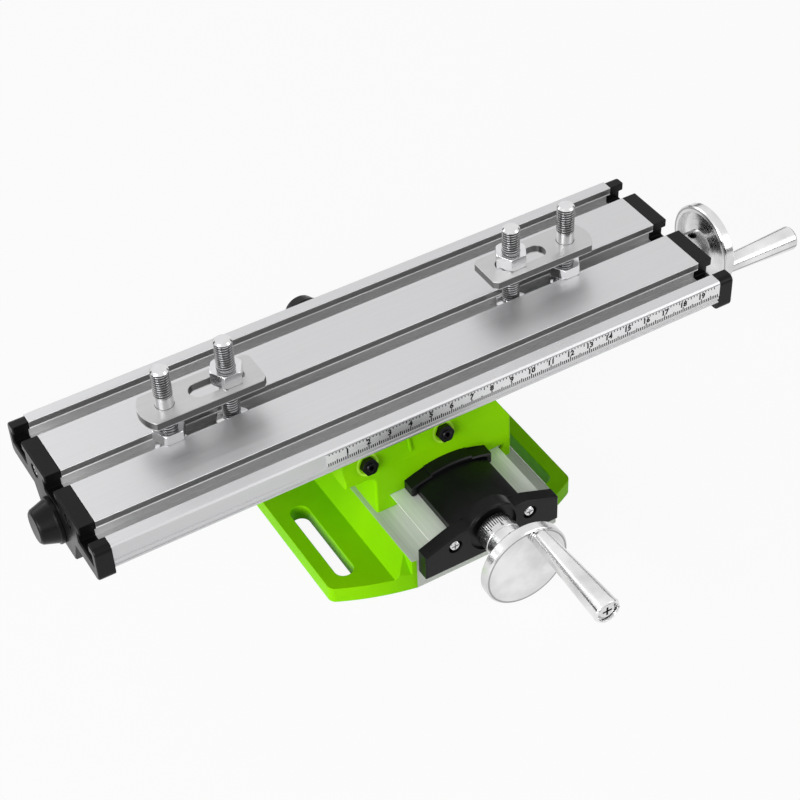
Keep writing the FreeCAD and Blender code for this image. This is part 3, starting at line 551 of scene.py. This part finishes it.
def turned_metal(name, letter, through, rim):
    """Bright turned metal; letter is the axis, through a point on it and rim the wheel's radius in mm."""
    mat, tree, shader, coords = new_finish(name, 1.0, 0.2, (0.86, 0.86, 0.87))
    centred = mapped(tree, coords, move=tuple(-v * MM for v in through))
    rings = tree.nodes.new("ShaderNodeTexWave")
    rings.wave_type = "RINGS"
    rings.rings_direction = letter
    rings.inputs["Scale"].default_value = ring_scale
    rings.inputs["Distortion"].default_value = 1.5
    rings.inputs["Detail"].default_value = 2
    tree.links.new(centred, rings.inputs["Vector"])
    hoops = tree.nodes.new("ShaderNodeTexWave")
    hoops.bands_direction = letter
    hoops.inputs["Scale"].default_value = hoop_scale
    hoops.inputs["Distortion"].default_value = 1.0
    tree.links.new(centred, hoops.inputs["Vector"])
    marks = math_node(tree, "MULTIPLY", rings.outputs["Fac"], hoops.outputs["Fac"])
    tree.links.new(ramp(tree, marks, [(0.0, 0.2), (1.0, 0.3)]), shader.inputs["Roughness"])
    cloud = ramp(tree, noise(tree, coords, cloud_scale, 3), [(0.35, 0.64), (0.65, 0.84)])
    flat = mapped(tree, centred, scale=tuple(float(axis != letter) for axis in "XYZ"))
    reach = tree.nodes.new("ShaderNodeVectorMath")
    reach.operation = "LENGTH"
    tree.links.new(flat, reach.inputs[0])
    # Painted shade in a ring just inside the rim.
    rim_shade = between(tree, reach.outputs["Value"], rim - shade_inner, rim - shade_outer)
    tree.links.new(mix_color(tree, rim_shade, cloud, (rim_shade_grey,) * 3), shader.inputs["Base Color"])
    bump(tree, shader, marks, 0.03, 0.04)
    return mat


wheel_radius = (y_wheel_high.x - y_wheel_low.x) / 2
x_turned = turned_metal("x_wheel_turning", "X", x_axis, wheel_radius)
y_turned = turned_metal("y_wheel_turning", "Y", y_axis, wheel_radius)
print("turned:", x_turned.name, y_turned.name, "rim at", round(wheel_radius, 2), "mm")

# %% [markdown]
# The rule is a thin printed strip. Its ground is pale brushed metal, brighter than the table, and the ink is
# a matt black. Round the gib nuts a paler green ring is a painted highlight, where the paint round the nut
# catches the light.

# %% Rule ground and print
rule_ground = drawn_metal("rule_ground", (0.8, 0.8, 0.81), 0.34, 0.46, long_lines)[0]
# The same black is print on the rule and dials, and painted shade in the screws' crosses.
ink_and_recess_shade = plastic_finish("ink_and_recess_shade", (0.006, 0.006, 0.007), 0.5, 0.6, 0.1)
# The pale green of the rings round the gib nuts is a painted highlight.
ring_highlight = plastic_finish("ring_highlight", (0.38, 0.74, 0.04), 0.4, 0.5, 0.1)
print("rule:", rule_ground.name, ink_and_recess_shade.name, "and", ring_highlight.name)

# %% [markdown]
# ## Dressing the CAD parts
# A CAD part's mesh may not be changed, but it may carry modifiers. Its triangles share no corners, so a
# Weld joins them, and a Decimate set to dissolve makes one face of each flat, because a bevel creases
# the long thin triangles beside a hole. A Bevel then rounds the sharp edges, and a Weighted Normal keeps the
# flats flat: the Bevel marks its own new faces as weak, and only the strong ones steer the shading. A real
# part has no razor edges, and the thin bright lines that a rounded edge catches make it look made. The
# small pan-head screws skip the dissolve, so that the crosses cut in their heads stay clear.

# %% Finishes and soft edges
weld_gap = 0.002
flat_angle = 0.5
bevel_angle = 32


def soften(part, width_mm, dissolve=True):
    """Welded, bevelled and evenly shaded, without touching the part's own mesh."""
    weld = part.modifiers.new("weld", "WELD")
    weld.merge_threshold = weld_gap * MM
    if dissolve:
        flats = part.modifiers.new("flats", "DECIMATE")
        flats.decimate_type = "DISSOLVE"
        flats.angle_limit = math.radians(flat_angle)
    edge = part.modifiers.new("edge", "BEVEL")
    edge.width = width_mm * MM
    edge.segments = 2
    edge.limit_method = "ANGLE"
    edge.angle_limit = math.radians(bevel_angle)
    edge.face_strength_mode = "FSTR_ALL"
    even = part.modifiers.new("even", "WEIGHTED_NORMAL")
    even.keep_sharp = True
    even.use_face_influence = True
    for face in part.data.polygons:
        face.use_smooth = True


def wear(names, finish, width_mm=0.0, dissolve=True):
    """Gives nodes their finish and, with a width, softens their edges."""
    for name in names:
        part = nodes[name]
        part.data.materials.clear()
        part.data.materials.append(finish)
        if width_mm:
            soften(part, width_mm, dissolve)


wear(["base_casting"], base_paint, 0.6)
wear(["saddle"], saddle_paint, 0.6)
wear(["front_bracket", "rear_bearing_plate", "screw_cover_collar"], black_moulding, 0.35)
wear(["left_end_cap", "right_end_cap", "x_end_plug", "y_end_plug"], black_moulding, 0.3)
wear(["table"], anodised, 0.35)
wear(["left_strap", "right_strap"], strap_plate, 0.3)
wear(["left_heel_nut", "right_heel_nut", "left_top_nut", "right_top_nut"], bolt_plate, 0.2)
wear(["x_lock_nut", "y_lock_nut"], bolt_plate, 0.1)
wear(["end_cap_screws", "bracket_screws", "rear_plate_screws"], bolt_plate, 0.1, dissolve=False)
wear(["x_handle_bolt", "y_handle_bolt"], bolt_plate, 0.15)
wear(["x_gib", "y_gib"], machined_steel, 0.15)
wear(["x_gib_screws", "x_gib_nuts", "y_gib_screws", "y_gib_nuts"], black_oxide, 0.15)
wear(["x_set_screw", "y_set_screw"], black_oxide)
wear(["x_feed_nut", "y_feed_nut"], feed_brass, 0.3)
wear(["rule"], rule_ground)
wear(["x_handwheel", "x_dial", "x_handle"], x_turned, 0.2)
wear(["y_handwheel", "y_dial", "y_handle"], y_turned, 0.2)
print("dressed:", len(nodes), "nodes")

# %% [markdown]
# ## Making a new piece
# A bmesh is filled with operators and then becomes an object at the origin, so its place is in its mesh.
# The helper joins double points, points every face outwards, and names the body that the piece moves with.
# Its faces are smooth, and only the edges that are sharper than 35 degrees stay crisp.

# %% Piece helper
double_gap = 0.0005
crisp_angle = 35


def piece(name, bm, finishes, body):
    """Turns a bmesh into a visible piece on a body, with its finishes."""
    bmesh.ops.remove_doubles(bm, verts=bm.verts, dist=double_gap * MM)
    bmesh.ops.recalc_face_normals(bm, faces=bm.faces)
    mesh = bpy.data.meshes.new(name)
    bm.to_mesh(mesh)
    bm.free()
    for finish in finishes:
        mesh.materials.append(finish)
    for face in mesh.polygons:
        face.use_smooth = True
    mesh.set_sharp_from_angle(angle=math.radians(crisp_angle))
    made = bpy.data.objects.new(name, mesh)
    scene.collection.objects.link(made)
    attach(made, body)
    print(name, len(mesh.polygons), "faces")
    return made


def facing(direction):
    """The turn that takes +Z to a direction."""
    return Vector((0, 0, 1)).rotation_difference(Vector(direction)).to_matrix().to_4x4()


# %% [markdown]
# ## Screw threads
# A thread is one tooth, spun round the axis while it climbs one pitch a turn. The spin operator does that
# with its dvec, the climb of each step. Six turns are spun and the rest are copies, each six pitches higher,
# which is much quicker than one long spin. The ragged ends are trimmed by a plane and filled. Each point of
# the tooth says whether it stands at the crest, and how far it is along the pitch.

# %% Thread helper
pitch = 1.25
unit_turns = 6
tooth = ((False, 0.0), (False, 0.32), (True, 0.52), (True, 0.8), (False, 1.0))
root_share = 0.6
seam_gap = 0.001
plane_gap = 0.0001


def threaded_rod(bm, low, high, outer, depth, steps=20):
    """Adds a thread between two heights in mm up the Z axis, its roots in the second finish, which paints
    shade into the groove.
    """
    rod = bmesh.new()
    root = outer - depth
    points = [rod.verts.new(((outer if crest else root) * MM, 0, (low + (along - 1) * pitch) * MM))
              for crest, along in tooth]
    edges = [rod.edges.new(pair) for pair in zip(points, points[1:])]
    bmesh.ops.spin(rod, geom=points + edges, cent=(0, 0, 0), axis=(0, 0, 1),
                   dvec=(0, 0, pitch * MM / steps), angle=2 * math.pi * unit_turns,
                   steps=steps * unit_turns, use_merge=False)
    unit = rod.verts[:] + rod.edges[:] + rod.faces[:]
    copies = int((high - low) / pitch / unit_turns) + 1
    for i in range(1, copies + 1):
        copy = bmesh.ops.duplicate(rod, geom=unit)["geom"]
        risen = [v for v in copy if isinstance(v, bmesh.types.BMVert)]
        bmesh.ops.translate(rod, verts=risen, vec=(0, 0, i * unit_turns * pitch * MM))
    bmesh.ops.remove_doubles(rod, verts=rod.verts, dist=seam_gap * MM)
    for height, upper in ((low, False), (high, True)):
        everything = rod.verts[:] + rod.edges[:] + rod.faces[:]
        cut = bmesh.ops.bisect_plane(rod, geom=everything, dist=plane_gap * MM,
                                     plane_co=(0, 0, height * MM), plane_no=(0, 0, 1),
                                     clear_outer=upper, clear_inner=not upper)
        rim = [e for e in cut["geom_cut"] if isinstance(e, bmesh.types.BMEdge)]
        bmesh.ops.holes_fill(rod, edges=rim, sides=0)
    bmesh.ops.recalc_face_normals(rod, faces=rod.faces)
    # Faces near the root take the second finish, which paints shade into the groove.
    for face in rod.faces:
        middle = face.calc_center_median()
        face.material_index = int(middle.xy.length / MM < root + depth * root_share)
    spare = bpy.data.meshes.new("spare")
    rod.to_mesh(spare)
    rod.free()
    bm.from_mesh(spare)
    bpy.data.meshes.remove(spare)


def plain_rod(bm, low, high, radius, tip_radius=None):
    """Adds a round bar or a cone between two heights in mm up the Z axis."""
    made = bmesh.ops.create_cone(bm, cap_ends=True, segments=32, radius1=radius * MM,
                                 radius2=(tip_radius or radius) * MM, depth=(high - low) * MM)["verts"]
    bmesh.ops.translate(bm, verts=made, vec=(0, 0, (low + high) / 2 * MM))


print("thread pitch:", pitch, "mm")

# %% [markdown]
# ## The clamp studs
# Each clamp has two M8 studs with hexagon heads in the T-slot. The one at the heel is bare in its middle,
# where it passes the strap, and threaded above and below. The one in the strap's slot is threaded all
# the way. A head is a six-sided cone from create_cone, with its edges rounded by the bevel operator.

# %% Studs with threads
head_height = 5.3
head_flats = 13.0
head_edge = 0.35
bolt_radius = 4.0
bolt_thread = 0.68
bare_shrink = 0.05
tip_height = 0.9
tip_start, tip_end = 0.1, 0.85
bare_stretch = (11.0, 22.5)


def clamp_stud(name, body, bare):
    """A stud with a hexagon head; bare is the stretch without thread, in mm above the table."""
    low, high = low_high(name)
    length = high.z - low.z
    bm = bmesh.new()
    reach = head_flats / 2 / math.cos(math.pi / 6)
    bmesh.ops.create_cone(bm, cap_ends=True, segments=6, radius1=reach * MM, radius2=reach * MM,
                          depth=head_height * MM)
    bmesh.ops.bevel(bm, geom=bm.edges[:], offset=head_edge * MM, segments=2, affect="EDGES",
                    profile=0.5, material=-1)
    bmesh.ops.rotate(bm, verts=bm.verts, cent=(0, 0, 0), matrix=Matrix.Rotation(math.radians(30), 3, "Z"))
    bmesh.ops.translate(bm, verts=bm.verts, vec=(0, 0, head_height / 2 * MM))
    top = length - tip_height
    stretches = [(head_height, top)]
    if bare:
        foot = table_high.z - low.z
        stretches = [(head_height, foot + bare[0]), (foot + bare[1], top)]
        plain_rod(bm, foot + bare[0], foot + bare[1], bolt_radius - bare_shrink)
    for start, end in stretches:
        threaded_rod(bm, start, end, bolt_radius, bolt_thread)
    plain_rod(bm, top, length, bolt_radius - tip_start, bolt_radius - tip_end)
    centre = (low + high) / 2
    bmesh.ops.translate(bm, verts=bm.verts, vec=Vector((centre.x, centre.y, low.z)) * MM)
    made = piece(name + "_threaded", bm, (bolt_plate, root_shade), body)
    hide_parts(name)


clamp_stud("left_heel_bolt", "left_clamp", bare_stretch)
clamp_stud("left_slot_bolt", "left_slot_bolt", None)
clamp_stud("right_heel_bolt", "right_clamp", bare_stretch)
clamp_stud("right_slot_bolt", "right_slot_bolt", None)

# %% [markdown]
# ## The rule's print
# The rule has a line for every millimetre, rising from its lower edge: short ones, a longer one at
# every 5 mm and the longest at every centimetre, each centimetre with its number. A second row of short
# marks hangs from the top edge, sixteen to the inch. Each line is a thin block that stands two hundredths
# of a millimetre proud, because a printed line has no depth to see.

# %% Lines on the rule
rule_low, rule_high = low_high("rule")
rule_length = round(rule_high.x - rule_low.x)
print_height = 0.02
print_root = 0.05
lower_row, upper_row = 0.1, 6.5
thick_line, thin_line = 0.52, 0.45
metric_heights = (2.6, 2.2, 1.6)
inch_heights = (1.6, 1.2, 0.8)
sixteenth = 25.4 / 16


def tick_height(tick, whole, part, heights):
    """The first height at every whole, the second at every part of it and the third elsewhere."""
    return heights[0] if tick % whole == 0 else heights[1] if tick % part == 0 else heights[2]


def line_block(bm, low, high):
    """A thin printed line as a block between two corners in mm."""
    low, high = Vector(low), Vector(high)
    cube = bmesh.ops.create_cube(bm, size=1.0)["verts"]
    bmesh.ops.scale(bm, verts=cube, vec=(high - low) * MM)
    bmesh.ops.translate(bm, verts=cube, vec=(low + high) / 2 * MM)


def rule_line(bm, at, wide, bottom, top):
    """An upright line on the rule; every measure is in mm from the rule's lower left corner."""
    line_block(bm, (rule_low.x + at - wide / 2, rule_low.y - print_height, rule_low.z + bottom),
               (rule_low.x + at + wide / 2, rule_low.y + print_root, rule_low.z + top))


bm = bmesh.new()
for tick in range(1, rule_length):
    tall = tick_height(tick, 10, 5, metric_heights)
    rule_line(bm, tick, thick_line, lower_row, lower_row + tall)
for tick in range(1, int(rule_length / sixteenth)):
    tall = tick_height(tick, 16, 4, inch_heights)
    rule_line(bm, tick * sixteenth, thin_line, upper_row - tall, upper_row)
piece("rule_lines", bm, (ink_and_recess_shade,), "table")

# %% [markdown]
# A number is a text curve, thickened a little by its offset, turned into a mesh and stood upright. It is
# moved by a matrix onto its centimetre, and all of them go into one bmesh.

# %% Numbers on the rule
number_depth = 0.03
rule_number_height = 3.8
rule_number_bold = 0.17
rule_number_rise = 4.15


def number(bm, text, height, place, bold):
    """Adds a number as a thin mesh, moved and turned by a matrix; height and bold are in mm."""
    words = bpy.data.curves.new("number", "FONT")
    words.body = text
    words.size = height * MM
    words.align_x = "CENTER"
    words.align_y = "CENTER"
    words.extrude = number_depth * MM
    words.offset = bold * MM
    words.resolution_u = 2
    holder = bpy.data.objects.new("number", words)
    mesh = bpy.data.meshes.new_from_object(holder)
    mesh.transform(place)
    bm.from_mesh(mesh)
    bpy.data.objects.remove(holder)
    bpy.data.curves.remove(words)
    bpy.data.meshes.remove(mesh)


upright = Matrix.Rotation(math.radians(90), 4, "X")
bm = bmesh.new()
for centimetre in range(1, rule_length // 10):
    spot = Vector((rule_low.x + centimetre * 10, rule_low.y, rule_low.z + rule_number_rise))
    place = Matrix.Translation(spot * MM) @ upright
    number(bm, str(centimetre), rule_number_height, place, rule_number_bold)
piece("rule_numbers", bm, (ink_and_recess_shade,), "table")

# %% [markdown]
# ## The dials
# Each dial has fifty lines round its rim, with a number at every ten. One line is made on top of the dial
# and turned into place by its angle, as on the real part, where they are rolled in one at a time.

# %% Lines and numbers on the dials
dial_divisions = 50
dial_step = math.radians(360 / dial_divisions)
long_line, short_line = 0.74, 0.58
dial_line = (0.42, 0.06)
line_sink, line_inset = 0.015, 0.45
dial_number_height = 2.0
dial_number_bold = 0.05
dial_number_inset = 1.5


def dial_marks(name, letter, direction, body):
    """Lines from the dial's edge that faces the bearing; letter is the axis, 0 for X and 1 for Y."""
    low, high = low_high(name)
    middle = (low + high) / 2
    radius = (high.z - low.z) / 2
    length = (high - low)[letter]
    foot = middle - Vector(direction) * length / 2
    bm = bmesh.new()
    for mark in range(dial_divisions):
        tall = length * (long_line if mark % 5 == 0 else short_line)
        cube = bmesh.ops.create_cube(bm, size=1.0)["verts"]
        bmesh.ops.scale(bm, verts=cube, vec=Vector((*dial_line, tall)) * MM)
        spot = Vector((0, radius - line_sink, line_inset + tall / 2))
        bmesh.ops.translate(bm, verts=cube, vec=spot * MM)
        turn = Matrix.Rotation(dial_step * mark, 3, "Z")
        bmesh.ops.rotate(bm, verts=cube, cent=(0, 0, 0), matrix=turn)
    for mark in range(0, dial_divisions, 10):
        place = Matrix.Rotation(dial_step * mark, 4, "Z")
        place = place @ Matrix.Translation(Vector((0, radius, length - dial_number_inset)) * MM)
        place = place @ Matrix.Rotation(math.radians(-90), 4, "X")
        number(bm, str(mark), dial_number_height, place, dial_number_bold)
    bmesh.ops.transform(bm, matrix=Matrix.Translation(foot * MM) @ facing(direction), verts=bm.verts)
    piece(name + "_marks", bm, (ink_and_recess_shade,), body)


dial_marks("x_dial", 0, (1, 0, 0), "x_dial")
dial_marks("y_dial", 1, (0, -1, 0), "y_dial")

# %% [markdown]
# ## Feed screws
# The feed screws show under the table and behind the saddle. Each is a thread between two bearings with a
# plain journal at either end, so it is built from three stretches along +Z and then laid along its axis.
# It stands inside the CAD rod's outline and takes its place.

# %% Threaded feed screws
screw_radius = 4.0
journal_radius = 3.0
thread_depth = 0.6
feed_steps = 14
end_gap = 0.1


def feed_screw(name, letter, direction, body, bearings):
    """A feed screw, threaded between two places along its axis, in mm."""
    low, high = low_high(name)
    middle = (low + high) / 2
    sense = Vector(direction)[letter]
    start = low[letter] if sense > 0 else high[letter]
    length = high[letter] - low[letter]
    near, far = sorted(abs(place - start) for place in bearings)
    bm = bmesh.new()
    plain_rod(bm, 0, near, journal_radius)
    threaded_rod(bm, near, far, screw_radius, thread_depth, feed_steps)
    plain_rod(bm, far, length, journal_radius)
    foot = middle - Vector(direction) * length / 2
    bmesh.ops.transform(bm, matrix=Matrix.Translation(foot * MM) @ facing(direction), verts=bm.verts)
    made = piece(name + "_threaded", bm, (machined_steel, root_shade), body)
    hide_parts(name)


feed_screw("x_leadscrew", 0, (1, 0, 0), "x_screw", (table_low.x + end_gap, table_high.x - end_gap))
feed_screw("y_leadscrew", 1, (0, -1, 0), "y_screw", (base_low.y + end_gap, base_high.y - end_gap))

# %% [markdown]
# ## Cross recesses
# The handle bolts and the end cap screws are driven by a cross. A recess this small only shows as a dark
# cross, so two thin black blocks of painted shade are laid in the head's face in place of the recess. The
# screws of the bracket and of the rear plate have theirs cut in the CAD model.

# %% Crosses
cross_thick = 0.04
bolt_cross = (2.2, 0.9)
cap_cross = (1.5, 0.6)
cap_screw_offset = 17.0


def cross(bm, centre, direction, reach, width):
    """A thin dark cross of painted shade on a screw head, square to a direction."""
    made = []
    for size in ((reach * 2, width, cross_thick), (width, reach * 2, cross_thick)):
        cube = bmesh.ops.create_cube(bm, size=1.0)["verts"]
        bmesh.ops.scale(bm, verts=cube, vec=Vector(size) * MM)
        made += cube
    bmesh.ops.transform(bm, matrix=Matrix.Translation(Vector(centre) * MM) @ facing(direction), verts=made)


for axis_name, direction, body in (("x", (1, 0, 0), "x_screw"), ("y", (0, -1, 0), "y_screw")):
    low, high = low_high(axis_name + "_handle_bolt")
    middle = (low + high) / 2
    half = max(high - low) / 2
    bm = bmesh.new()
    cross(bm, middle + Vector(direction) * half, direction, *bolt_cross)
    piece(axis_name + "_handle_bolt_cross", bm, (ink_and_recess_shade,), body)

cap_low, cap_high = low_high("end_cap_screws")
bm = bmesh.new()
for x, way in ((cap_low.x, -1), (cap_high.x, 1)):
    for side in (-1, 1):
        centre = (x, table_middle.y + side * cap_screw_offset, (cap_low.z + cap_high.z) / 2)
        cross(bm, centre, (way, 0, 0), *cap_cross)
piece("end_cap_screw_crosses", bm, (ink_and_recess_shade,), "table")

# %% [markdown]
# ## Painted highlight rings round the gib nuts
# A pale green ring round each gib nut is a painted highlight, where the paint round the nut catches the
# light. The ring is a flat disc from create_circle, inset by the inset operator, with its middle taken away,
# laid on the leaning band.

# %% Highlight rings round the gib nuts
lean = math.radians(15)
band_out = Vector((0, -math.cos(lean), math.sin(lean)))
ring_radius = 5.3
ring_width = 1.0
ring_lift = 0.04
nut_half = 4.04
nut_low, nut_high = low_high("x_gib_nuts")
saddle_front = low_high("saddle")[0].y
band_crease = 42.0
nut_height = 46.6
band_face = saddle_front + (nut_height - band_crease) * math.tan(lean)

bm = bmesh.new()
for x in (nut_low.x + nut_half, nut_high.x - nut_half):
    circle = bmesh.ops.create_circle(bm, cap_ends=True, segments=40, radius=ring_radius * MM)["verts"]
    disc = circle[0].link_faces[0]
    rim_faces = bmesh.ops.inset_region(bm, faces=[disc], thickness=ring_width * MM, depth=0,
                                       use_boundary=True, use_even_offset=True)["faces"]
    ring = {v for face in rim_faces for v in face.verts}
    bmesh.ops.delete(bm, geom=[disc], context="FACES_ONLY")
    centre = Vector((x, band_face, nut_height)) + band_out * ring_lift
    bmesh.ops.transform(bm, matrix=Matrix.Translation(centre * MM) @ facing(band_out), verts=list(ring))
piece("gib_nut_highlights", bm, (ring_highlight,), "saddle")

# %% [markdown]
# ## The index mark
# A short rib on the leaning band points at the rule. It is a cube with its edges rounded by the bevel
# operator, scaled to a bar, leaned with the band and painted with it.

# %% Index mark on the band
mark_x = -7.6
mark_low, mark_high = 44.4, 56.5
mark_wide = 1.5
mark_proud = 0.8
rounding = 0.2

bm = bmesh.new()
bmesh.ops.create_cube(bm, size=1.0)
bmesh.ops.bevel(bm, geom=bm.edges[:], offset=rounding, segments=3, affect="EDGES", profile=0.5,
                material=-1)
tall = (mark_high - mark_low) / math.cos(lean)
bmesh.ops.scale(bm, verts=bm.verts, vec=Vector((mark_wide, mark_proud * 2, tall)) * MM)
middle = Vector((mark_x, saddle_front, (mark_low + mark_high) / 2))
middle.y += (middle.z - band_crease) * math.tan(lean)
placed = Matrix.Translation(middle * MM) @ Matrix.Rotation(-lean, 4, "X")
bmesh.ops.transform(bm, matrix=placed, verts=bm.verts)
piece("index_mark", bm, (saddle_paint,), "saddle")
